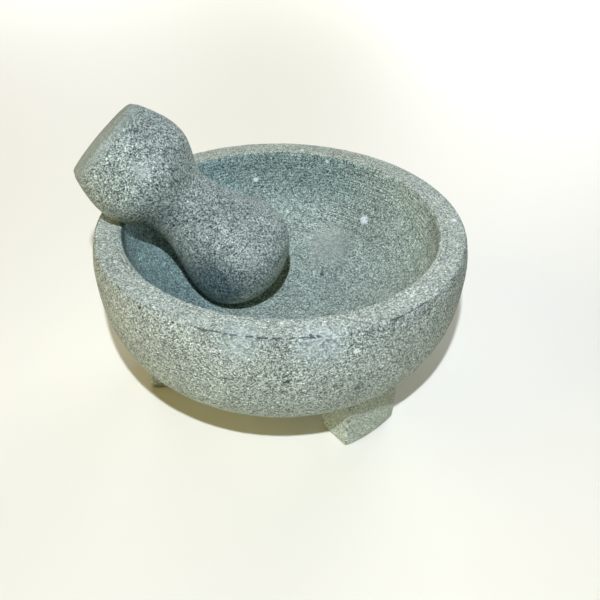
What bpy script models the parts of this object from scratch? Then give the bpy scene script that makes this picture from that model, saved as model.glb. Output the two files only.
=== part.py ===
"""Molcajete: a stone mortar on three feet, with its tejolote leaning in the bowl.

Metres, +Z up. The mortar stands on z = 0 with its front towards -Y, and the
tejolote leans over the rim towards -X. The bowl and its feet are one block.
"""

import math

import bmesh
import bpy
from mathutils import Matrix, Vector

# Mortar, outside
BOWL_RADIUS = 0.1016            # widest, 8 in across
BOWL_HEIGHT = 0.100             # from the table to the rim
WIDEST_DROP = 0.014             # from the rim down to the widest level
BELLY_POWER = 2.6               # squareness of the belly's curve
UNDERSIDE_RADIUS = 0.037        # flat part under the bowl
UNDERSIDE_HEIGHT = 0.0215

# Mortar, rim and hollow
RIM_OUTER_RADIUS = 0.0999
RIM_OUTER_ROUNDING = 0.0026
RIM_INNER_ROUNDING = 0.0015
HOLLOW_RADIUS = 0.0851
HOLLOW_DEPTH = 0.056
HOLLOW_POWER = 2.2

# Feet, sawn from a ring that was turned on the block's underside
FOOT_COUNT = 3
FRONT_FOOT_ANGLE = math.radians(-49.2)     # from +X about the bowl's axis
FOOT_WIDTH = 0.0375
FOOT_OUTER_RADIUS = 0.0827
FOOT_INNER_RADIUS = 0.0635      # at the table
FOOT_INNER_TAPER = 0.007        # how far the inner face leans inwards at the top
FOOT_TOP = 0.040                # buried in the bowl's wall
FOOT_CHAMFER = 0.0016

# Tejolote, measured along its axis from the flat butt
BUTT_RADIUS = 0.0231
BUTT_ROUNDING = 0.0020
BUTT_CROWN = 0.0012
GRIP_RADIUS = 0.0300
GRIP_AT = 0.0251
NECK_RADIUS = 0.0199
NECK_AT = 0.0524
HEAD_RADIUS = 0.0314
HEAD_AT = 0.0959
TEJOLOTE_LENGTH = 0.1208

# Where the tejolote rests: its head on the hollow's floor, its grip on the rim
LEAN_FROM_VERTICAL = math.radians(44.8)
LEAN_TURN = math.radians(1.2)
HEAD_FROM_AXIS = Vector((-0.0240, 0.0019))
HEAD_HEIGHT = 0.0760

# The tejolote reaches past the bowl on one side, so the bowl's axis stands off
# the origin by half of that, and the whole object is centred on the origin.
BOWL_AXIS_X = 0.0028

MORTAR_STEPS = 72
TEJOLOTE_STEPS = 40
SHARP_ANGLE = math.radians(35)


def clear_scene():
    for obj in list(bpy.data.objects):
        bpy.data.objects.remove(obj, do_unlink=True)


def new_collection(name):
    collection = bpy.data.collections.new(name)
    bpy.context.scene.collection.children.link(collection)
    return collection


def stone(name, colour, roughness):
    material = bpy.data.materials.new(name)
    material.use_nodes = True
    shader = material.node_tree.nodes["Principled BSDF"]
    shader.inputs["Base Color"].default_value = (*colour, 1.0)
    shader.inputs["Roughness"].default_value = roughness
    shader.inputs["Metallic"].default_value = 0.0
    return material


def steps_between(start, end, count):
    """count values after start, the last of them end."""
    return [start + (end - start) * i / count for i in range(1, count + 1)]


def arc(centre, radius, start, end, count):
    """Points of an arc in the profile plane, its first point left out."""
    return [
        (centre[0] + radius * math.cos(a), centre[1] + radius * math.sin(a))
        for a in steps_between(start, end, count)
    ]


def add_turned(name, profile, steps, collection):
    """A solid of revolution about its own Z, from (radius, height) points.

    The profile starts and ends on the axis and runs down the outer side.
    """
    mesh = bpy.data.meshes.new(name)
    points = [(r, 0.0, z) for r, z in profile]
    mesh.from_pydata(points, [(i, i + 1) for i in range(len(points) - 1)], [])
    obj = bpy.data.objects.new(name, mesh)
    collection.objects.link(obj)
    screw = obj.modifiers.new("turning", "SCREW")
    screw.axis = "Z"
    screw.angle = 2 * math.pi
    screw.steps = screw.render_steps = steps
    screw.use_merge_vertices = True
    screw.merge_threshold = 0.0001
    return obj


def add_boolean(obj, other, operation):
    boolean = obj.modifiers.new(other.name, "BOOLEAN")
    boolean.operation = operation
    boolean.solver = "EXACT"
    boolean.object = other


def as_helper(obj):
    obj.hide_render = True
    obj.display_type = "WIRE"


def shade_by_angle(obj):
    """Applies the modifiers, then shades smooth with the real edges kept sharp."""
    graph = bpy.context.evaluated_depsgraph_get()
    mesh = bpy.data.meshes.new_from_object(obj.evaluated_get(graph))
    obj.modifiers.clear()
    obj.data = mesh
    mesh.shade_smooth()
    mesh.set_sharp_from_angle(angle=SHARP_ANGLE)


def hollow_profile(rows=14):
    """The grinding hollow, from its deepest point up to the rim."""
    depth = HOLLOW_DEPTH - RIM_INNER_ROUNDING
    edge = BOWL_HEIGHT - RIM_INNER_ROUNDING
    power = 2 / HOLLOW_POWER
    points = [(0.0, edge - depth)]
    for u in steps_between(0.0, math.pi / 2, rows):
        points.append((
            HOLLOW_RADIUS * math.sin(u) ** power,
            edge - depth * max(math.cos(u), 0.0) ** power,
        ))
    return points


def rim_profile():
    """From the hollow's edge over the flat rim to the outer wall."""
    inner = (HOLLOW_RADIUS + RIM_INNER_ROUNDING, BOWL_HEIGHT - RIM_INNER_ROUNDING)
    outer = (RIM_OUTER_RADIUS - RIM_OUTER_ROUNDING, BOWL_HEIGHT - RIM_OUTER_ROUNDING)
    points = arc(inner, RIM_INNER_ROUNDING, math.pi, math.pi / 2, 2)
    points.append((outer[0], BOWL_HEIGHT))
    return points + arc(outer, RIM_OUTER_ROUNDING, math.pi / 2, 0.0, 3)


def belly_profile(rows=13):
    """From the rim's outer edge out to the widest level, then down and under."""
    widest = BOWL_HEIGHT - WIDEST_DROP
    top = BOWL_HEIGHT - RIM_OUTER_ROUNDING
    swell = BOWL_RADIUS - RIM_OUTER_RADIUS
    points = [
        (RIM_OUTER_RADIUS + swell * math.sin(t * math.pi / 2), top + (widest - top) * t)
        for t in steps_between(0.0, 1.0, 3)
    ]
    power = 2 / BELLY_POWER
    reach = BOWL_RADIUS - UNDERSIDE_RADIUS
    drop = widest - UNDERSIDE_HEIGHT
    for u in steps_between(0.0, math.pi / 2, rows):
        points.append((
            UNDERSIDE_RADIUS + reach * max(math.cos(u), 0.0) ** power,
            widest - drop * math.sin(u) ** power,
        ))
    points.append((0.0, UNDERSIDE_HEIGHT))
    return points


def foot_ring_profile():
    """Section of the foot ring, closed, down its outer side and up its inner one."""
    inner_top = FOOT_INNER_RADIUS - FOOT_INNER_TAPER
    return [
        (FOOT_OUTER_RADIUS, FOOT_TOP),
        (FOOT_OUTER_RADIUS, FOOT_CHAMFER),
        (FOOT_OUTER_RADIUS - FOOT_CHAMFER, 0.0),
        (FOOT_INNER_RADIUS + FOOT_CHAMFER, 0.0),
        (FOOT_INNER_RADIUS, FOOT_CHAMFER),
        (inner_top, FOOT_TOP),
        (FOOT_OUTER_RADIUS, FOOT_TOP),
    ]


def add_foot_saw(collection):
    """One slab for each foot: what the saw leaves of the ring, sides parallel."""
    near, far = FOOT_INNER_RADIUS - 0.02, FOOT_OUTER_RADIUS + 0.01
    low, high = -0.01, FOOT_TOP + 0.01
    size = Matrix.Diagonal((far - near, FOOT_WIDTH, high - low, 1.0))
    place = Matrix.Translation(((near + far) / 2, 0.0, (low + high) / 2))
    cubes = bmesh.new()
    for i in range(FOOT_COUNT):
        turn = Matrix.Rotation(FRONT_FOOT_ANGLE + 2 * math.pi * i / FOOT_COUNT, 4, "Z")
        bmesh.ops.create_cube(cubes, size=1.0, matrix=turn @ place @ size)
    mesh = bpy.data.meshes.new("foot_saw")
    cubes.to_mesh(mesh)
    cubes.free()
    obj = bpy.data.objects.new("foot_saw", mesh)
    collection.objects.link(obj)
    return obj


def add_mortar(collection, helpers):
    axis = Vector((BOWL_AXIS_X, 0.0, 0.0))
    saw = add_foot_saw(helpers)
    ring = add_turned("foot_ring", foot_ring_profile(), MORTAR_STEPS, helpers)
    profile = hollow_profile() + rim_profile() + belly_profile()
    mortar = add_turned("mortar", profile, MORTAR_STEPS, collection)
    for obj in (saw, ring, mortar):
        obj.location = axis
    add_boolean(ring, saw, "INTERSECT")
    add_boolean(mortar, ring, "UNION")
    as_helper(saw)
    as_helper(ring)
    shade_by_angle(mortar)
    mortar.data.materials.clear()
    mortar.data.materials.append(stone("mortar_stone", (0.30, 0.31, 0.29), 0.85))
    return mortar


def tejolote_radius(along):
    """Radius at a distance from the butt: a grip, a neck and a rounded head."""
    if along <= GRIP_AT:
        swell = math.sin(math.pi / 2 * along / GRIP_AT)
        return BUTT_RADIUS + (GRIP_RADIUS - BUTT_RADIUS) * swell
    if along <= NECK_AT:
        start, end, big, small = GRIP_AT, NECK_AT, GRIP_RADIUS, NECK_RADIUS
    elif along <= HEAD_AT:
        start, end, big, small = HEAD_AT, NECK_AT, HEAD_RADIUS, NECK_RADIUS
    else:
        down = min((along - HEAD_AT) / (TEJOLOTE_LENGTH - HEAD_AT), 1.0)
        return HEAD_RADIUS * math.sqrt(1 - down * down)
    wave = math.cos(math.pi * (along - start) / (end - start))
    return (big + small) / 2 + (big - small) / 2 * wave


def tejolote_profile():
    """From the butt's centre down to the tip; the head's centre is the origin."""
    corner = (BUTT_RADIUS - BUTT_ROUNDING, HEAD_AT - BUTT_ROUNDING)
    points = [(0.0, HEAD_AT + BUTT_CROWN), (BUTT_RADIUS / 2, HEAD_AT + 0.7 * BUTT_CROWN)]
    points.append((corner[0], HEAD_AT))
    points += arc(corner, BUTT_ROUNDING, math.pi / 2, math.pi / 10, 2)
    stations = (
        steps_between(0.0, GRIP_AT, 6)
        + steps_between(GRIP_AT, NECK_AT, 7)
        + steps_between(NECK_AT, HEAD_AT, 8)
    )
    points += [(tejolote_radius(s), HEAD_AT - s) for s in stations]
    reach = TEJOLOTE_LENGTH - HEAD_AT
    for u in steps_between(0.0, math.pi / 2, 8)[:-1]:
        points.append((HEAD_RADIUS * math.cos(u), -reach * math.sin(u)))
    return points + [(0.0, -reach)]


def add_tejolote(collection):
    """The tejolote under an empty at its head's centre, on the line it lifts along."""
    seat = bpy.data.objects.new("tejolote_seat", None)
    collection.objects.link(seat)
    seat.empty_display_size = 0.02
    seat.location = (BOWL_AXIS_X + HEAD_FROM_AXIS.x, HEAD_FROM_AXIS.y, HEAD_HEIGHT)
    tejolote = add_turned("tejolote", tejolote_profile(), TEJOLOTE_STEPS, collection)
    tejolote.parent = seat
    tejolote.rotation_euler = (0.0, -LEAN_FROM_VERTICAL, LEAN_TURN)
    shade_by_angle(tejolote)
    tejolote.data.materials.clear()
    tejolote.data.materials.append(stone("tejolote_stone", (0.33, 0.34, 0.32), 0.8))
    return tejolote


clear_scene()
molcajete = new_collection("molcajete")
cutters = new_collection("cutters")
add_mortar(molcajete, cutters)
add_tejolote(molcajete)
bpy.context.view_layer.update()
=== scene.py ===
import math
import random

import bpy
from mathutils import Euler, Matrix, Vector


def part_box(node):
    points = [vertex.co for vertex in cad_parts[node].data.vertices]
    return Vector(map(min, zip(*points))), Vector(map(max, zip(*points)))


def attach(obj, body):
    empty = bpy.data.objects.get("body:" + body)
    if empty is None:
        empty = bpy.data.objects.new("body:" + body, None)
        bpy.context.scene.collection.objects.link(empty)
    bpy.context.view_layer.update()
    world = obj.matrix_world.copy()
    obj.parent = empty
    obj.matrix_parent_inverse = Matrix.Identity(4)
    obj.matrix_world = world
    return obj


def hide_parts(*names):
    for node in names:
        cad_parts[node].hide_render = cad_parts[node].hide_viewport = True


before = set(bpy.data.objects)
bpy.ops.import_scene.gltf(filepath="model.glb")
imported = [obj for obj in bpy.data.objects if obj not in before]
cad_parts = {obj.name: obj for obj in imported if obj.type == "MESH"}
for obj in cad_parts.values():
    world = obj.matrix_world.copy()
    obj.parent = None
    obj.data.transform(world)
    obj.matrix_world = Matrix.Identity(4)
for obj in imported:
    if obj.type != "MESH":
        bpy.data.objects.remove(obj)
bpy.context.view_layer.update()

# ---------------------------------------------------------------- the mortar's bowl
# One block of grey-green granite, turned on a lathe inside and out: a flat
# ground rim, a wall that swells a little below it, and a round grinding hollow.

MM = 0.001

mortar_low, mortar_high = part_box("mortar")
BOWL_RADIUS = mortar_high.y
BOWL_HEIGHT = mortar_high.z
BOWL_AXIS = Vector((mortar_high.x - BOWL_RADIUS, 0.0, 0.0))
WIDEST_LEVEL = BOWL_HEIGHT - 14 * MM
BELLY_POWER = 2.6
UNDERSIDE_RADIUS = 37 * MM
UNDERSIDE_HEIGHT = 21.5 * MM
RIM_OUTER_RADIUS = 99.9 * MM
RIM_OUTER_ROUNDING = 2.6 * MM
RIM_INNER_ROUNDING = 1.5 * MM
HOLLOW_RADIUS = 85.1 * MM
HOLLOW_DEPTH = 56 * MM
HOLLOW_POWER = 2.2
HOLLOW_TOOL_MARKS = 0.16 * MM
WALL_TOOL_MARKS = 0.18 * MM
LATHE_STEPS = 160


def only(piece):
    """Selects one object alone and makes it active."""
    bpy.ops.object.select_all(action="DESELECT")
    piece.select_set(True)
    bpy.context.view_layer.objects.active = piece


def edit_all(piece, mode="VERT"):
    """Opens a piece in edit mode with its whole mesh selected."""
    only(piece)
    bpy.ops.object.mode_set(mode="EDIT")
    bpy.ops.mesh.select_mode(type=mode)
    bpy.ops.mesh.select_all(action="SELECT")


def leave_edit():
    bpy.ops.object.mode_set(mode="OBJECT")


def select_points(piece, wanted):
    """In edit mode, selects the points whose place passes the test."""
    bpy.ops.mesh.select_mode(type="VERT")
    bpy.ops.mesh.select_all(action="DESELECT")
    leave_edit()
    for point in piece.data.vertices:
        point.select = wanted(point.co)
    bpy.ops.object.mode_set(mode="EDIT")


def apply_all(piece):
    """Applies a piece's modifiers in turn."""
    only(piece)
    for modifier in list(piece.modifiers):
        bpy.ops.object.modifier_apply(modifier=modifier.name)


def turn_on_lathe(name, outline, axis, steps):
    """A closed turned solid from (radius, height) points that start and end on the axis."""
    bpy.ops.object.select_all(action="DESELECT")
    first = axis + Vector((outline[0][0], 0.0, outline[0][1]))
    bpy.ops.mesh.primitive_plane_add(size=2 * MM, location=first)
    piece = bpy.context.object
    piece.name = piece.data.name = name
    only(piece)
    bpy.ops.object.transform_apply(location=True, rotation=True, scale=True)
    bpy.ops.object.mode_set(mode="EDIT")
    bpy.ops.mesh.select_mode(type="VERT")
    bpy.ops.mesh.select_all(action="SELECT")
    bpy.ops.mesh.merge(type="CENTER")
    for (r0, z0), (r1, z1) in zip(outline, outline[1:]):
        bpy.ops.mesh.extrude_region_move(TRANSFORM_OT_translate={"value": (r1 - r0, 0.0, z1 - z0)})
    bpy.ops.mesh.select_all(action="SELECT")
    bpy.ops.mesh.spin(steps=steps, angle=2 * math.pi, center=axis, axis=(0.0, 0.0, 1.0))
    bpy.ops.mesh.select_all(action="SELECT")
    bpy.ops.mesh.remove_doubles(threshold=0.01 * MM)
    bpy.ops.mesh.normals_make_consistent(inside=False)
    leave_edit()
    return piece


def steps_between(start, end, count):
    """Even steps that leave out the start and end at the end."""
    return [start + (end - start) * i / count for i in range(1, count + 1)]


def rounded_corner(centre, radius, start, end, count):
    """Outline points along an arc from the start angle to the end angle."""
    return [
        (centre[0] + radius * math.cos(a), centre[1] + radius * math.sin(a))
        for a in steps_between(start, end, count)
    ]


def tool_wave(along, depth):
    """The small uneven swell that a hand-fed turning tool leaves, never standing proud."""
    swell = math.sin(along / 3.1) + 0.7 * math.sin(along / 1.73 + 1.1) + 0.5 * math.sin(along / 5.3)
    return -depth * (1 + swell / 2.2) / 2


# the outline runs from the hollow's floor over the rim and down the wall to the underside
hollow_power = 2 / HOLLOW_POWER
hollow_depth = HOLLOW_DEPTH - RIM_INNER_ROUNDING
hollow_edge = BOWL_HEIGHT - RIM_INNER_ROUNDING
bowl_outline = [(0.0, hollow_edge - hollow_depth)]
for u in steps_between(0.0, math.pi / 2, 64):
    sink = -tool_wave(u * 75, HOLLOW_TOOL_MARKS) * math.sin(2 * u)
    bowl_outline.append((
        HOLLOW_RADIUS * math.sin(u) ** hollow_power + sink * math.sin(u),
        hollow_edge - hollow_depth * max(math.cos(u), 0.0) ** hollow_power - sink * math.cos(u),
    ))
bowl_outline += rounded_corner(
    (HOLLOW_RADIUS + RIM_INNER_ROUNDING, hollow_edge), RIM_INNER_ROUNDING, math.pi, math.pi / 2, 5
)
rim_corner = (RIM_OUTER_RADIUS - RIM_OUTER_ROUNDING, BOWL_HEIGHT - RIM_OUTER_ROUNDING)
bowl_outline += [
    (r, BOWL_HEIGHT) for r in steps_between(HOLLOW_RADIUS + RIM_INNER_ROUNDING, rim_corner[0], 6)
]
bowl_outline += rounded_corner(rim_corner, RIM_OUTER_ROUNDING, math.pi / 2, 0.0, 6)
for t in steps_between(0.0, 1.0, 8):
    bowl_outline.append((
        RIM_OUTER_RADIUS + (BOWL_RADIUS - RIM_OUTER_RADIUS) * math.sin(t * math.pi / 2),
        rim_corner[1] + (WIDEST_LEVEL - rim_corner[1]) * t,
    ))
belly_power = 2 / BELLY_POWER
belly_reach, belly_drop = BOWL_RADIUS - UNDERSIDE_RADIUS, WIDEST_LEVEL - UNDERSIDE_HEIGHT
for u in steps_between(0.0, math.pi / 2, 60):
    sink = tool_wave(u * 80 + 9, WALL_TOOL_MARKS) * math.sin(2 * u)
    bowl_outline.append((
        UNDERSIDE_RADIUS + belly_reach * max(math.cos(u), 0.0) ** belly_power + sink * math.cos(u),
        WIDEST_LEVEL - belly_drop * math.sin(u) ** belly_power - sink * math.sin(u),
    ))
bowl_outline += [(r, UNDERSIDE_HEIGHT) for r in steps_between(UNDERSIDE_RADIUS, 0.0, 10)]

mortar = turn_on_lathe("turned_mortar", bowl_outline, BOWL_AXIS, LATHE_STEPS)

# ---------------------------------------------------------------- the three feet
# Short feet of the same block, sawn from a ring that was turned under the bowl: curved
# outside and inside, with flat parallel saw cuts, and their lower corners rubbed round.

FOOT_WIDTH = 37.5 * MM
FOOT_OUTER_RADIUS = 82.7 * MM
FOOT_INNER_RADIUS = 63.5 * MM
FOOT_INNER_TAPER = 7 * MM
FOOT_TOP = 40 * MM
FOOT_ROUNDING = 0.8 * MM
FRONT_FOOT_ANGLE = math.radians(-49.2)
FOOT_SWEEP = math.radians(48)


def saw_foot():
    """One foot on the +X side of the bowl's axis."""
    bpy.ops.object.select_all(action="DESELECT")
    middle = BOWL_AXIS + Vector(((FOOT_INNER_RADIUS + FOOT_OUTER_RADIUS) / 2, 0.0, FOOT_TOP / 2))
    bpy.ops.mesh.primitive_plane_add(size=1.0, location=middle, rotation=(math.pi / 2, 0.0, 0.0))
    foot = bpy.context.object
    foot.scale = (FOOT_OUTER_RADIUS - FOOT_INNER_RADIUS, FOOT_TOP, 1.0)
    only(foot)
    bpy.ops.object.transform_apply(location=True, rotation=True, scale=True)
    inner = BOWL_AXIS.x + FOOT_INNER_RADIUS
    bpy.ops.object.mode_set(mode="EDIT")
    select_points(foot, lambda co: co.x < inner + MM and co.z > FOOT_TOP / 2)
    bpy.ops.transform.translate(value=(-FOOT_INNER_TAPER, 0.0, 0.0))
    bpy.ops.mesh.select_all(action="SELECT")
    bpy.ops.transform.rotate(
        value=FOOT_SWEEP / 2, orient_axis="Z", orient_type="GLOBAL", center_override=BOWL_AXIS
    )
    leave_edit()
    # the sweep has to run back over the +X axis, from whichever side the profile was turned to
    profile_side = sum(point.co.y for point in foot.data.vertices)
    sweep = -FOOT_SWEEP if profile_side < 0 else FOOT_SWEEP
    bpy.ops.object.mode_set(mode="EDIT")
    bpy.ops.mesh.spin(steps=20, angle=sweep, center=BOWL_AXIS, axis=(0.0, 0.0, 1.0))
    for side in (-1, 1):
        bpy.ops.mesh.select_all(action="SELECT")
        bpy.ops.mesh.bisect(
            plane_co=(0.0, side * FOOT_WIDTH / 2, 0.0), plane_no=(0.0, side, 0.0),
            use_fill=True, clear_outer=True,
        )
    bpy.ops.mesh.select_all(action="SELECT")
    bpy.ops.mesh.remove_doubles(threshold=0.01 * MM)
    bpy.ops.mesh.normals_make_consistent(inside=False)
    leave_edit()
    return foot


def round_foot(foot):
    """Bevels the saw-cut arrises and the sole's edge, and leaves the buried top."""
    edit_all(foot, "EDGE")
    bpy.ops.mesh.select_all(action="DESELECT")
    bpy.ops.mesh.edges_select_sharp(sharpness=math.radians(35))
    leave_edit()
    mesh = foot.data
    for edge in mesh.edges:
        if all(mesh.vertices[i].co.z > FOOT_TOP - MM for i in edge.vertices):
            edge.select = False
    bpy.ops.object.mode_set(mode="EDIT")
    bpy.ops.mesh.bevel(offset=FOOT_ROUNDING, segments=3, profile=0.5, affect="EDGES")
    leave_edit()


def cut_or_join(piece, other, operation, crossing=False):
    """Cuts or adds another solid, which is then thrown away; crossing if it meets itself."""
    only(piece)
    joint = piece.modifiers.new(other.name, "BOOLEAN")
    joint.operation = operation
    joint.solver = "EXACT"
    joint.use_self = crossing
    joint.object = other
    bpy.ops.object.modifier_apply(modifier=joint.name)
    bpy.data.objects.remove(other, do_unlink=True)


first_foot = saw_foot()
round_foot(first_foot)
for i in range(3):
    foot = first_foot.copy()
    foot.data = first_foot.data.copy()
    bpy.context.scene.collection.objects.link(foot)
    edit_all(foot)
    # transform.rotate turns clockwise here, so the angle is given with its sign turned
    bpy.ops.transform.rotate(
        value=-(FRONT_FOOT_ANGLE + i * 2 * math.pi / 3), orient_axis="Z", orient_type="GLOBAL",
        center_override=BOWL_AXIS,
    )
    leave_edit()
    cut_or_join(mortar, foot, "UNION")
bpy.data.objects.remove(first_foot, do_unlink=True)

# ---------------------------------------------------------------- pits, chips and worn skin
# The stone is close-grained, with a few open pores and small chips along both edges of
# the rim. Its skin is rough from the pecking hammer, and rubbed smooth at the edges.

RIM_LEVEL = BOWL_HEIGHT / MM
MORTAR_GRID = 1.05 * MM
MORTAR_SWELLS = ((14 * MM, 0.22 * MM), (3.2 * MM, 0.26 * MM))
MORTAR_KEPT = 0.64
SOLE_BAND = 0.45 * MM
PECK_UNEVENNESS = 0.12 * MM

# each pit as degrees round the bowl, then radius, height and size in millimetres
MORTAR_PITS = (
    (-80.4, 98.9, RIM_LEVEL + 0.5, 1.5),
    (-78.6, 99.6, RIM_LEVEL - 0.1, 1.3),
    (-76.8, 99.9, RIM_LEVEL - 0.4, 1.2),
    (-94.0, 99.5, RIM_LEVEL + 0.3, 1.2),
    (-102.5, 99.6, RIM_LEVEL + 0.2, 1.1),
    (96.5, 100.6, RIM_LEVEL + 0.2, 2.2),
    (-86.3, 102.2, 76.1, 1.6),
    (-127.7, 99.9, 98.2, 1.2),
    (43.8, 33.7, 48.4, 1.5),
    (123.8, 4.5, 44.9, 1.4),
)
# small chips go on the rim's outer and inner edge in turn: radius, and height over the rim
CHIPPED_EDGES = ((99.6, 0.3), (85.4, 0.4))
CHIP_COUNT = 30
CHIP_SPACING = 360 // CHIP_COUNT
FRONT_RUN = (-112, -70)
BACK_CHIP = 96.5


def around_bowl(degrees, radius, height):
    """A point from its angle about the bowl's axis, radius and height in millimetres."""
    a = math.radians(degrees)
    return BOWL_AXIS + MM * Vector((radius * math.cos(a), radius * math.sin(a), height))


def peck(piece, places):
    """Cuts one small hollow for each (point, radius), as one joined cutter."""
    bpy.ops.object.select_all(action="DESELECT")
    cutters = []
    for point, radius in places:
        bpy.ops.mesh.primitive_ico_sphere_add(subdivisions=2, radius=radius, location=point)
        cutters.append(bpy.context.object)
    for cutter in cutters:
        cutter.select_set(True)
    bpy.context.view_layer.objects.active = cutters[0]
    bpy.ops.object.join()
    cutter = bpy.context.object
    edit_all(cutter)
    bpy.ops.transform.vertex_random(offset=PECK_UNEVENNESS, seed=5)
    leave_edit()
    cut_or_join(piece, cutter, "DIFFERENCE", crossing=True)


def make_skin(piece, grid, swells, kept):
    """Remeshes to an even grid, eases the arrises, roughens the skin and thins the grid."""
    remesh = piece.modifiers.new("even grid", "REMESH")
    remesh.mode = "VOXEL"
    remesh.voxel_size = grid
    ease = piece.modifiers.new("ease", "SMOOTH")
    ease.factor = 0.5
    ease.iterations = 1
    for number, (size, depth) in enumerate(swells):
        clouds = bpy.data.textures.new(f"{piece.name} skin {number}", "CLOUDS")
        clouds.noise_scale = size
        clouds.noise_depth = 2
        displace = piece.modifiers.new(clouds.name, "DISPLACE")
        displace.texture = clouds
        displace.texture_coords = "LOCAL"
        displace.mid_level = 0.62
        displace.strength = depth
    thin = piece.modifiers.new("thin", "DECIMATE")
    thin.ratio = kept
    apply_all(piece)


mortar_pits = [
    (around_bowl(degrees, reach, level), size * MM) for degrees, reach, level, size in MORTAR_PITS
]
chance = random.Random(11)
for i in range(CHIP_COUNT):
    edge_radius, lift = CHIPPED_EDGES[i % 2]
    turn = i * CHIP_SPACING + chance.uniform(-4, 4)
    size = chance.uniform(0.9, 1.5)
    in_front = FRONT_RUN[0] < turn - 360 < FRONT_RUN[1]
    if i % 2 or not (in_front or abs(turn - BACK_CHIP) < 5):
        reach = edge_radius + chance.uniform(-0.2, 0.5)
        mortar_pits.append((around_bowl(turn, reach, RIM_LEVEL + lift), size * MM))
peck(mortar, mortar_pits)
make_skin(mortar, MORTAR_GRID, MORTAR_SWELLS, MORTAR_KEPT)

# the soles are flat where they stand on the table
edit_all(mortar)
select_points(mortar, lambda co: co.z < SOLE_BAND)
bpy.ops.transform.resize(value=(1.0, 1.0, 0.0), center_override=(0.0, 0.0, 0.0))
leave_edit()
bpy.ops.object.shade_smooth()
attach(mortar, "mortar")
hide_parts("mortar")

# ---------------------------------------------------------------- the mortar's stone
# Granite with a salt-and-pepper grain: the ground rim is palest, the hollow's turned wall
# darker with fine rings and a bluer painted shade to the left, and its floor is dusty where it has
# been worked.

WALL_TONE = (0.402, 0.462, 0.395)
RIM_TONE = (0.450, 0.512, 0.430)
BACK_RIM_SHADE_TONE = (0.398, 0.447, 0.352)
RING_TONE = (0.200, 0.268, 0.228)
BLUE_SHADE_TONE = (0.240, 0.345, 0.308)
HOLLOW_TONE = (0.350, 0.418, 0.345)
SAWN_TONE = (0.455, 0.510, 0.395)
RUBBED_TONE = (0.335, 0.360, 0.295)
SHEEN_TONE = (0.56, 0.68, 0.66)
PALE_SPECK = (0.88, 0.92, 0.88)
DARK_SPECK = (0.035, 0.045, 0.045)
WHITE = (1.0, 1.0, 1.0)

# grain sizes in millimetres, and each size's run of tones from its darkest to its palest
FINE_GRAIN, MIDDLE_GRAIN, COARSE_GRAIN = 0.36, 0.60, 1.2
FINE_TONES = (
    (0.0, (0.09, 0.11, 0.12)), (0.20, (0.26, 0.29, 0.30)), (0.38, (0.95, 0.96, 0.95)),
    (0.75, (1.25, 1.24, 1.23)), (0.95, (1.75, 1.75, 1.74)),
)
MIDDLE_TONES = (
    (0.0, (0.14, 0.16, 0.17)), (0.18, (0.36, 0.39, 0.40)), (0.32, (1.0, 1.0, 1.0)),
    (0.80, (1.16, 1.16, 1.15)), (0.95, (1.60, 1.60, 1.58)),
)
COARSE_TONES = (
    (0.0, (0.50, 0.53, 0.54)), (0.12, (0.90, 0.91, 0.91)), (0.85, (1.06, 1.06, 1.05)),
    (1.0, (1.20, 1.20, 1.18)),
)
TURNING_FEED = 2.3
HOLLOW_OVAL = (93.0, 67.0)
HAIRLINE_RADIUS = 98.6

# each speck as degrees round the bowl, then radius, height and size in millimetres, and how
# strongly it shows
PALE_SPECKS = (
    (47.0, 74.0, 69.0, 2.8, 0.7), (104.3, 82.2, 82.2, 1.5, 0.6), (72.2, 84.8, 95.7, 1.2, 0.6),
    (2.6, 94.6, 100.0, 1.7, 0.9), (-12.9, 85.5, 99.6, 1.2, 0.8), (-87.8, 88.9, 100.0, 1.2, 0.9),
    (83.9, 88.9, 100.0, 1.3, 0.6), (-68.7, 101.3, 89.9, 1.5, 0.9), (-104.6, 101.2, 90.6, 1.5, 0.6),
    (-96.0, 101.4, 96.0, 1.1, 0.5), (-131.0, 101.4, 91.0, 1.3, 0.5), (150.0, 101.0, 80.0, 2.0, 0.6),
    (35.0, 100.5, 72.0, 1.6, 0.6), (-20.0, 100.8, 66.0, 1.8, 0.5), (200.0, 99.0, 62.0, 1.6, 0.6),
    (112.0, 100.9, 88.0, 1.4, 0.6), (70.0, 99.0, 60.0, 1.7, 0.5), (-150.0, 92.0, 100.0, 1.3, 0.5),
)
DARK_PORES = (
    (-86.3, 101.2, 76.1, 1.3, 0.9), (-66.6, 100.2, 66.0, 2.4, 0.45), (-127.7, 99.7, 98.0, 0.9, 1.0),
    (43.8, 33.7, 47.4, 1.5, 0.85), (123.8, 4.5, 44.1, 1.3, 0.6), (-80.4, 97.9, 99.9, 0.9, 0.8),
    (-78.7, 98.3, 99.8, 0.9, 0.8), (96.5, 99.6, 99.6, 1.3, 0.8), (10.0, 101.0, 84.0, 1.3, 0.7),
    (130.0, 100.6, 74.0, 1.5, 0.7), (178.0, 101.2, 90.0, 1.1, 0.7), (-40.0, 100.0, 63.0, 1.3, 0.6),
    (-62.2, 82.6, 3.0, 1.0, 0.7), (-62.5, 82.6, 13.0, 1.1, 0.7), (-62.0, 82.8, 19.5, 0.9, 0.6),
)


def add_node(tree, kind, values=None, **settings):
    """A node with its settings, and its inputs given as values or as other outputs."""
    made = tree.nodes.new(kind)
    for name, value in settings.items():
        setattr(made, name, value)
    for socket, value in (values or {}).items():
        if isinstance(value, bpy.types.NodeSocket):
            tree.links.new(value, made.inputs[socket])
        else:
            made.inputs[socket].default_value = value
    return made


def calc(tree, operation, first, second=0.0):
    return add_node(
        tree, "ShaderNodeMath", {0: first, 1: second}, operation=operation
    ).outputs[0]


def plus(tree, first, second):
    return calc(tree, "ADD", first, second)


def times(tree, product, *factors):
    for factor in factors:
        product = calc(tree, "MULTIPLY", product, factor)
    return product


def most(tree, first, second):
    """The larger of two values."""
    return calc(tree, "MAXIMUM", first, second)


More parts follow.
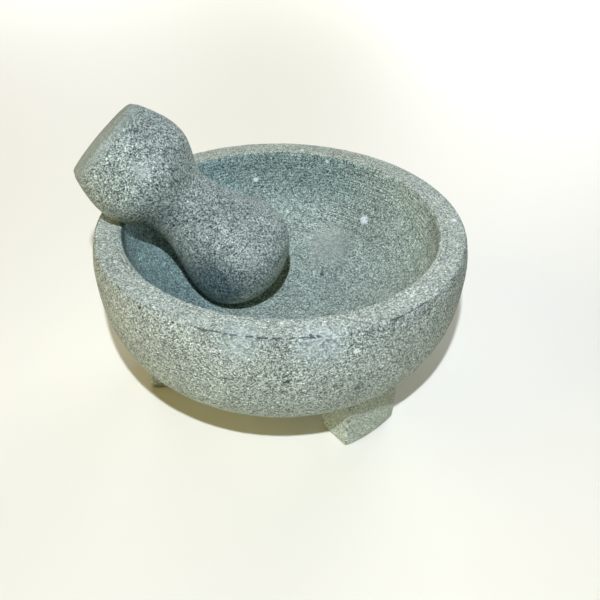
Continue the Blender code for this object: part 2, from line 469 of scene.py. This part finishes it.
def vector(tree, operation, first, second=(0.0, 0.0, 0.0)):
    """Two outputs: a vector, then a length or distance."""
    return add_node(
        tree, "ShaderNodeVectorMath", {0: first, 1: second}, operation=operation
    ).outputs


def fade(tree, value, start, end, low=0.0, high=1.0):
    """Runs smoothly from low at start to high at end."""
    return add_node(
        tree, "ShaderNodeMapRange", {0: value, 1: start, 2: end, 3: low, 4: high},
        interpolation_type="SMOOTHSTEP",
    ).outputs[0]


def tint(tree, share, first, second, blend="MIX"):
    """Mixes the second colour into the first by its share."""
    made = add_node(tree, "ShaderNodeMix", data_type="RGBA", blend_type=blend)
    for socket, value in ((0, share), (6, first), (7, second)):
        if isinstance(value, bpy.types.NodeSocket):
            tree.links.new(value, made.inputs[socket])
        elif socket == 0:
            made.inputs[0].default_value = value
        else:
            made.inputs[socket].default_value = (*value, 1.0)
    return made.outputs[2]


def ramp(tree, value, stops):
    """A colour ramp from (place, colour) stops."""
    made = add_node(tree, "ShaderNodeValToRGB", {0: value})
    elements = made.color_ramp.elements
    while len(elements) < len(stops):
        elements.new(0.5)
    for element, (place, colour) in zip(elements, stops):
        element.position = place
        element.color = (*colour, 1.0)
    return made.outputs[0]


def noise(tree, place, size, detail):
    """Grey noise whose blobs are about size millimetres across."""
    return add_node(
        tree, "ShaderNodeTexNoise",
        {"Vector": place, "Scale": 1 / size, "Detail": detail, "Roughness": 0.55},
    ).outputs[0]


def wander(tree, grey, reach):
    """Grey noise as a distance either side of nothing, to keep a border from being straight."""
    return times(tree, calc(tree, "SUBTRACT", grey, 0.5), reach)


def shake(tree, place, size, amount):
    """The place moved about by noise, so that edges aren't straight."""
    swirl = add_node(
        tree, "ShaderNodeTexNoise", {"Vector": place, "Scale": 1 / size, "Detail": 2.0}
    ).outputs[1]
    off = vector(tree, "SUBTRACT", swirl, (0.5, 0.5, 0.5))[0]
    off = add_node(tree, "ShaderNodeVectorMath", {0: off, 3: amount * 2}, operation="SCALE")
    return vector(tree, "ADD", place, off.outputs[0])[0]


def grains(tree, place, size):
    """A random grey for each grain."""
    cells = add_node(
        tree, "ShaderNodeTexVoronoi", {"Vector": place, "Scale": 1 / size, "Randomness": 1.0}
    )
    return add_node(tree, "ShaderNodeSeparateXYZ", {0: cells.outputs[1]}).outputs[0]


def spot(tree, place, centre, radius, soft=0.35):
    """1 inside a small spot round a point in millimetres, 0 outside it, with a soft edge."""
    gap = vector(tree, "DISTANCE", place, centre)[1]
    return fade(tree, gap, radius * (1 + soft), radius * (1 - soft))


def speck(tree, place, row, soft=0.35):
    """How strongly one row of the lists of specks shows."""
    degrees, reach, level, size, share = row
    centre = tuple((around_bowl(degrees, reach, level) - BOWL_AXIS) / MM)
    return times(tree, spot(tree, place, centre, size, soft), share)


def stone_space(tree, origin, turn=(0.0, 0.0, 0.0)):
    """Object coordinates in millimetres, on the piece's own turning axis."""
    place = add_node(tree, "ShaderNodeTexCoord").outputs["Object"]
    return add_node(
        tree, "ShaderNodeMapping",
        {"Vector": place, "Location": origin, "Rotation": turn, "Scale": (MM, MM, MM)},
        vector_type="TEXTURE",
    ).outputs[0]


def stone_grain(tree, place, contrast):
    """The grain's colour as a multiplier near 1, its height, and a random grey per grain."""
    ragged = shake(tree, place, 0.6, 0.12)
    fine = grains(tree, ragged, FINE_GRAIN)
    middle = grains(tree, ragged, MIDDLE_GRAIN)
    coarse = grains(tree, ragged, COARSE_GRAIN)
    both = tint(
        tree, 1.0, ramp(tree, fine, FINE_TONES), ramp(tree, middle, MIDDLE_TONES), "MULTIPLY"
    )
    both = tint(tree, 1.0, both, ramp(tree, coarse, COARSE_TONES), "MULTIPLY")
    toned = tint(tree, contrast, WHITE, both)
    rise = plus(tree, times(tree, fine, 0.5), times(tree, middle, 0.5))
    return toned, rise, middle


def stone_shader(name):
    stone = bpy.data.materials.new(name)
    stone.use_nodes = True
    shader = stone.node_tree.nodes["Principled BSDF"]
    shader.inputs["Metallic"].default_value = 0.0
    shader.inputs["Specular IOR Level"].default_value = 0.35
    return stone, stone.node_tree, shader


def give_stone(piece, stone, shader, colour, roughness, bump_values):
    """Puts the finished colour and relief on a stone, and the stone on its piece."""
    nodes = stone.node_tree
    bump = add_node(nodes, "ShaderNodeBump", bump_values)
    nodes.links.new(colour, shader.inputs["Base Color"])
    nodes.links.new(bump.outputs[0], shader.inputs["Normal"])
    shader.inputs["Roughness"].default_value = roughness
    piece.data.materials.clear()
    piece.data.materials.append(stone)


mortar_stone, tree, shader = stone_shader("mortar granite")
place = stone_space(tree, BOWL_AXIS)
side, back, height = add_node(tree, "ShaderNodeSeparateXYZ", {0: place}).outputs
radius = vector(tree, "LENGTH", vector(tree, "MULTIPLY", place, (1.0, 1.0, 0.0))[0])[1]
patches = noise(tree, place, 22.0, 3.0)
blotches = noise(tree, place, 7.0, 3.0)
border = wander(tree, blotches, 2.0)

# which side of the wall: the hollow lies inside an oval halfway through the stone
from_rim = vector(tree, "ADD", place, (0.0, 0.0, -RIM_LEVEL))[0]
oval_scale = (1 / HOLLOW_OVAL[0], 1 / HOLLOW_OVAL[0], 1 / HOLLOW_OVAL[1])
oval = vector(tree, "LENGTH", vector(tree, "MULTIPLY", from_rim, oval_scale)[0])[1]
in_hollow = fade(tree, oval, 1.0, 0.965)

# the hollow's upper wall is darker where it is seldom rubbed, less so toward the left, and not on
# the right wall, which is kept lighter as painted light; to the left the hollow is painted a bluer
# shade
upper = fade(tree, plus(tree, height, times(tree, border, 5.0)), 60.0, 84.0)
upper = times(
    tree, upper, fade(tree, side, 72.0, 30.0), fade(tree, side, -60.0, -15.0, 0.35, 1.0)
)
hollow_colour_and_shade = tint(tree, upper, HOLLOW_TONE, RING_TONE)
hollow_colour_and_shade = tint(tree, fade(tree, side, -15.0, -60.0), hollow_colour_and_shade, BLUE_SHADE_TONE)
colour = tint(tree, in_hollow, WALL_TONE, hollow_colour_and_shade)

# the flat rim is ground pale, with painted shade darkening it towards the back, and the feet have a
# paler sawn face
on_rim = fade(tree, plus(tree, height, border), RIM_LEVEL - 1.3, RIM_LEVEL - 0.3)
rim_colour_and_shade = tint(tree, fade(tree, back, 40.0, 90.0), RIM_TONE, BACK_RIM_SHADE_TONE)
colour = tint(tree, on_rim, colour, rim_colour_and_shade)
sawn = fade(tree, plus(tree, height, border), 33.0, 26.0)
colour = tint(tree, sawn, colour, SAWN_TONE)

# slow changes of tone through the block, and painted shade as a darker cloud on the hollow's right
# wall
tone = times(
    tree, fade(tree, patches, 0.30, 0.70, 0.93, 1.07), fade(tree, blotches, 0.30, 0.70, 0.93, 1.07)
)
painted_shade_cloud = spot(tree, place, (50.0, 53.0, 67.0), 18.0, 0.9)
tone = times(tree, tone, fade(tree, painted_shade_cloud, 0.0, 1.0, 1.0, 0.79))

# turning rings, one for each step of the tool, which fade in and out round the bowl
along = plus(tree, plus(tree, radius, height), times(tree, patches, 3.0))
tool_rings = calc(tree, "SINE", times(tree, along, 2 * math.pi / TURNING_FEED))
ring_space = add_node(tree, "ShaderNodeCombineXYZ", {0: along, 1: times(tree, height, 0.3)})
rings = noise(tree, ring_space.outputs[0], 1.0, 1.0)
rings = plus(tree, rings, times(tree, tool_rings, 0.10))
ring_share = times(
    tree,
    fade(tree, noise(tree, place, 26.0, 1.0), 0.38, 0.62, 0.15, 0.75),
    fade(tree, in_hollow, 0.0, 1.0, 0.35, 1.0),
    fade(tree, height, 50.0, 66.0, 0.2, 1.0),
)
ring_colour = tint(tree, ring_share, WHITE, fade(tree, rings, 0.30, 0.70, 0.66, 1.34))

# the patch in the hollow that the head has rubbed smooth and dusty
rubbed = spot(tree, shake(tree, place, 9.0, 4.0), (29.0, 46.0, 55.0), 13.0, 0.8)
colour = tint(tree, times(tree, rubbed, 0.5), colour, RUBBED_TONE)

# the grain is softer on sawn, ground and rubbed faces
contrast = times(
    tree,
    fade(tree, sawn, 0.0, 1.0, 1.0, 0.62),
    fade(tree, on_rim, 0.0, 1.0, 0.92, 0.72),
    fade(tree, rubbed, 0.0, 1.0, 1.0, 0.45),
)
grain, grain_height, grain_grey = stone_grain(tree, place, contrast)
for layer in (grain, ring_colour, tone):
    colour = tint(tree, 1.0, colour, layer, "MULTIPLY")

# pale inclusions, each broken up by the grain
ragged_place = shake(tree, place, 2.5, 1.1)
pale_share = fade(tree, grain_grey, 0.10, 0.45, 0.5, 1.0)
for row in PALE_SPECKS:
    pale = times(tree, speck(tree, ragged_place, row), pale_share)
    colour = tint(tree, pale, colour, PALE_SPECK)

# dark open pores
dark = 0.0
for row in DARK_PORES:
    dark = most(tree, speck(tree, ragged_place, row, 0.25), dark)

# a dark hairline in short lengths along the rim's outer edge, and nearly whole in front
hair_gap = plus(tree, radius, times(tree, border, 0.5))
hair_gap = calc(tree, "ABSOLUTE", calc(tree, "SUBTRACT", hair_gap, HAIRLINE_RADIUS))
hairline = times(tree, fade(tree, hair_gap, 0.42, 0.18), fade(tree, height, 98.6, 99.0))
broken = fade(tree, noise(tree, place, 3.0, 1.0), 0.38, 0.52)
front = times(
    tree, fade(tree, side, -42.0, -30.0), fade(tree, side, 24.0, 17.0),
    fade(tree, back, 0.0, -10.0),
)
lengths = most(tree, front, fade(tree, noise(tree, place, 16.0, 1.0), 0.50, 0.56))
dark = most(tree, dark, times(tree, hairline, broken, lengths, 0.8))

# the wall just under the rim's edge has broken, darker grain
under = times(
    tree, fade(tree, height, 91.0, 94.5), fade(tree, height, 99.2, 98.0),
    calc(tree, "SUBTRACT", 1.0, in_hollow),
)
chipped = times(
    tree, fade(tree, noise(tree, place, 2.6, 2.0), 0.52, 0.66),
    fade(tree, noise(tree, place, 19.0, 1.0), 0.42, 0.60),
)
dark = most(tree, dark, times(tree, chipped, under, 0.55))

# a painted highlight: two paler, bluish stretches of sheen on the wall under the front of the rim
sheen_place = shake(tree, place, 6.0, 3.0)
painted_sheen = most(
    tree, spot(tree, sheen_place, (20.0, -98.0, 95.0), 9.0, 0.8),
    spot(tree, sheen_place, (-15.0, -99.0, 95.0), 8.0, 0.8),
)
colour = tint(tree, times(tree, painted_sheen, 0.35), colour, SHEEN_TONE)
colour = tint(tree, dark, colour, DARK_SPECK)

relief = plus(tree, times(tree, grain_height, 0.8), times(tree, rings, ring_share, 0.8))
give_stone(
    mortar, mortar_stone, shader, colour, 0.8,
    {"Strength": 0.7, "Distance": 0.25 * MM, "Height": relief},
)

# ---------------------------------------------------------------- the tejolote
# The hand stone, turned from the same rock: a flat butt, a swelling grip, a waist for the
# fingers and a round grinding head. It leans in the bowl with its grip over the rim.

BUTT_RADIUS = 23.1 * MM
BUTT_ROUNDING = 2.0 * MM
BUTT_CROWN = 1.2 * MM
GRIP_RADIUS, GRIP_AT = 30.0 * MM, 25.1 * MM
NECK_RADIUS, NECK_AT = 19.9 * MM, 52.4 * MM
HEAD_RADIUS, HEAD_AT = 31.4 * MM, 95.9 * MM
TEJOLOTE_LENGTH = 120.8 * MM
TEJOLOTE_LEAN = Euler((0.0, math.radians(-44.8), math.radians(1.2)))
TEJOLOTE_GRID = 0.62 * MM
TEJOLOTE_SWELLS = ((11 * MM, 0.20 * MM), (2.2 * MM, 0.20 * MM))
TEJOLOTE_KEPT = 0.9
HAND_TONE = (0.345, 0.408, 0.348)
PALE_TONE = (0.480, 0.530, 0.470)
HEAD_SHADE_TONE = (0.110, 0.162, 0.158)
GRIP_PATCH = (13.5, -26.9, 74.9)
HEAD_PATCH = (16.0, -26.5, 4.0)


def tejolote_radius(along):
    """Radius at a distance from the butt."""
    if along <= GRIP_AT:
        return BUTT_RADIUS + (GRIP_RADIUS - BUTT_RADIUS) * math.sin(math.pi / 2 * along / GRIP_AT)
    if along <= NECK_AT:
        start, end, big, small = GRIP_AT, NECK_AT, GRIP_RADIUS, NECK_RADIUS
    else:
        start, end, big, small = HEAD_AT, NECK_AT, HEAD_RADIUS, NECK_RADIUS
    wave = math.cos(math.pi * (along - start) / (end - start))
    return (big + small) / 2 + (big - small) / 2 * wave


# the outline has its origin at the middle of the head, and runs from the butt to the tip
butt_corner = (BUTT_RADIUS - BUTT_ROUNDING, HEAD_AT - BUTT_ROUNDING)
tejolote_outline = [(0.0, HEAD_AT + BUTT_CROWN), (BUTT_RADIUS / 2, HEAD_AT + 0.7 * BUTT_CROWN)]
tejolote_outline.append((butt_corner[0], HEAD_AT))
tejolote_outline += rounded_corner(butt_corner, BUTT_ROUNDING, math.pi / 2, math.pi / 10, 4)
for along in steps_between(0.0, HEAD_AT, 60):
    if along > BUTT_ROUNDING:
        turned = tejolote_radius(along) + tool_wave(along * 900, 0.14 * MM)
        tejolote_outline.append((turned, HEAD_AT - along))
tip = TEJOLOTE_LENGTH - HEAD_AT
for u in steps_between(0.0, math.pi / 2, 24)[:-1]:
    tejolote_outline.append((HEAD_RADIUS * math.cos(u), -tip * math.sin(u)))
tejolote_outline.append((0.0, -tip))

tejolote = turn_on_lathe("turned_tejolote", tejolote_outline, Vector((0.0, 0.0, 0.0)), 96)
make_skin(tejolote, TEJOLOTE_GRID, TEJOLOTE_SWELLS, TEJOLOTE_KEPT)

# it is leant over, and then its box is centred on the CAD tejolote's box
tejolote.rotation_euler = TEJOLOTE_LEAN
only(tejolote)
bpy.ops.object.transform_apply(location=False, rotation=True, scale=False)
low = Vector(min(point.co[i] for point in tejolote.data.vertices) for i in range(3))
high = Vector(max(point.co[i] for point in tejolote.data.vertices) for i in range(3))
cad_low, cad_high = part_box("tejolote")
seat = (cad_low + cad_high) / 2 - (low + high) / 2
tejolote.location = seat
bpy.ops.object.transform_apply(location=True, rotation=False, scale=False)
bpy.ops.object.shade_smooth()
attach(tejolote, "tejolote")
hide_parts("tejolote")

tejolote_stone, tree, shader = stone_shader("tejolote granite")
place = stone_space(tree, seat, TEJOLOTE_LEAN)
across, _, along = add_node(tree, "ShaderNodeSeparateXYZ", {0: place}).outputs
patches = noise(tree, place, 20.0, 3.0)
blotches = noise(tree, place, 6.0, 3.0)

# the grip and the head have a rubbed patch each, and the butt is smoother all over
butt = fade(tree, along, 90.0, 94.5)
patch_place = shake(tree, place, 5.0, 2.0)
smooth = most(
    tree, spot(tree, patch_place, GRIP_PATCH, 4.2, 0.8),
    times(tree, spot(tree, patch_place, HEAD_PATCH, 4.6, 0.8), 0.6),
)
worn = most(tree, times(tree, smooth, 0.55), times(tree, butt, 0.6))
grain, grain_height, _ = stone_grain(tree, place, calc(tree, "SUBTRACT", 1.0, worn))
tone = times(
    tree, fade(tree, patches, 0.3, 0.7, 0.90, 1.10), fade(tree, blotches, 0.3, 0.7, 0.92, 1.08)
)
colour = tint(tree, times(tree, smooth, 0.7), HAND_TONE, PALE_TONE)

# painted shade: the side of the head that lies in the bowl is darkened, and this fades out up the
# waist
painted_head_shade = times(
    tree,
    fade(tree, plus(tree, across, wander(tree, blotches, 7.0)), 16.0, -6.0),
    fade(tree, along, -14.0, -2.0),
    fade(tree, along, 30.0, 12.0, 0.3, 1.0),
    fade(tree, along, 64.0, 50.0),
)
colour = tint(tree, painted_head_shade, colour, HEAD_SHADE_TONE)
for layer in (grain, tone):
    colour = tint(tree, 1.0, colour, layer, "MULTIPLY")
give_stone(
    tejolote, tejolote_stone, shader, colour, 0.78,
    {"Strength": 0.8, "Distance": 0.28 * MM, "Height": grain_height},
)

# ---------------------------------------------------------------- floor, light and camera
# A plain cream table top in a dim warm room. A flash stands 13 cm above the lens, with a
# warm fill from the left, and two cool ones behind for the far side of the stone.

FLOOR_SIZE = 3.2
FLOOR_PAINT = (0.84, 0.82, 0.67, 1.0)
FLASH_PLACE = (0.0073, -0.3046, 0.4129)
FLASH_RADIUS = 0.006
FLASH_STRENGTH = 39.0
FLASH_COLOUR = (0.93, 1.0, 1.22)
LEFT_FILL = 19.0
REAR_FILL = 12.0
WARM = (1.0, 0.75, 0.32)
COOL = (0.95, 1.0, 1.12)
ROOM_LIGHT = 0.07
BEYOND = (0.88, 0.89, 0.85, 1.0)
CAMERA_PLACE = (0.01392, -0.3075, 0.2815)
CAMERA_PITCH, CAMERA_ROLL = math.radians(37.63), -0.0302
SENSOR_WIDTH, FOCAL_LENGTH = 36.0, 39.0

bpy.ops.object.select_all(action="DESELECT")
bpy.ops.mesh.primitive_plane_add(size=FLOOR_SIZE, location=(0.0, 0.0, 0.0))
floor = bpy.context.object
floor.name = "table_top"
table_paint = bpy.data.materials.new("cream table")
table_paint.use_nodes = True
paint = table_paint.node_tree.nodes["Principled BSDF"]
paint.inputs["Base Color"].default_value = FLOOR_PAINT
paint.inputs["Roughness"].default_value = 0.6
floor.data.materials.append(table_paint)

# the room lights the stone dimly, but looks pale where it shows past the floor's edge
room = bpy.context.scene.world or bpy.data.worlds.new("room")
bpy.context.scene.world = room
room.use_nodes = True
room_tree = room.node_tree
dim = room_tree.nodes["Background"]
dim.inputs[0].default_value = (*WARM, 1.0)
dim.inputs[1].default_value = ROOM_LIGHT
pale = add_node(room_tree, "ShaderNodeBackground", {"Color": BEYOND})
seen = add_node(room_tree, "ShaderNodeLightPath").outputs["Is Camera Ray"]
either = add_node(
    room_tree, "ShaderNodeMixShader", {0: seen, 1: dim.outputs[0], 2: pale.outputs[0]}
)
room_tree.links.new(either.outputs[0], room_tree.nodes["World Output"].inputs[0])

# the flash's light doesn't weaken with distance, so that the whole floor is evenly bright
bpy.ops.object.light_add(type="POINT", location=FLASH_PLACE)
flash = bpy.context.object
flash.name = "flash"
flash.data.shadow_soft_size = FLASH_RADIUS
flash.data.energy = 1.0
flash.data.color = FLASH_COLOUR
flash.data.use_nodes = True
flash_tree = flash.data.node_tree
even = add_node(flash_tree, "ShaderNodeLightFalloff", {"Strength": FLASH_STRENGTH})
flash_tree.links.new(even.outputs["Constant"], flash_tree.nodes["Emission"].inputs["Strength"])

# round panels: degrees to the side and up, distance, size, strength and colour
for turn, rise, reach, size, energy, colour in (
    (-75, 24, 2.4, 1.9, LEFT_FILL, WARM),
    (155, 18, 1.6, 0.9, 1.1 * REAR_FILL, COOL),
    (-155, 18, 1.6, 0.9, 0.5 * REAR_FILL, COOL),
):
    a, e = math.radians(turn), math.radians(rise)
    line = Vector((math.sin(a) * math.cos(e), -math.cos(a) * math.cos(e), math.sin(e)))
    bpy.ops.object.light_add(type="AREA", location=line * reach)
    panel = bpy.context.object
    panel.rotation_euler = line.to_track_quat("Z", "Y").to_euler()
    panel.data.shape = "DISK"
    panel.data.size = size
    panel.data.energy = energy
    panel.data.color = colour

bpy.context.scene.view_settings.view_transform = "Standard"
bpy.context.scene.view_settings.look = "None"

bpy.ops.object.camera_add(location=CAMERA_PLACE)
camera = bpy.context.object
pitched = Euler((math.pi / 2 - CAMERA_PITCH, 0.0, 0.0)).to_matrix()
rolled = Euler((0.0, 0.0, -CAMERA_ROLL)).to_matrix()
camera.rotation_euler = (pitched @ rolled).to_euler()
camera.data.sensor_width = SENSOR_WIDTH
camera.data.lens = FOCAL_LENGTH
bpy.context.scene.camera = camera
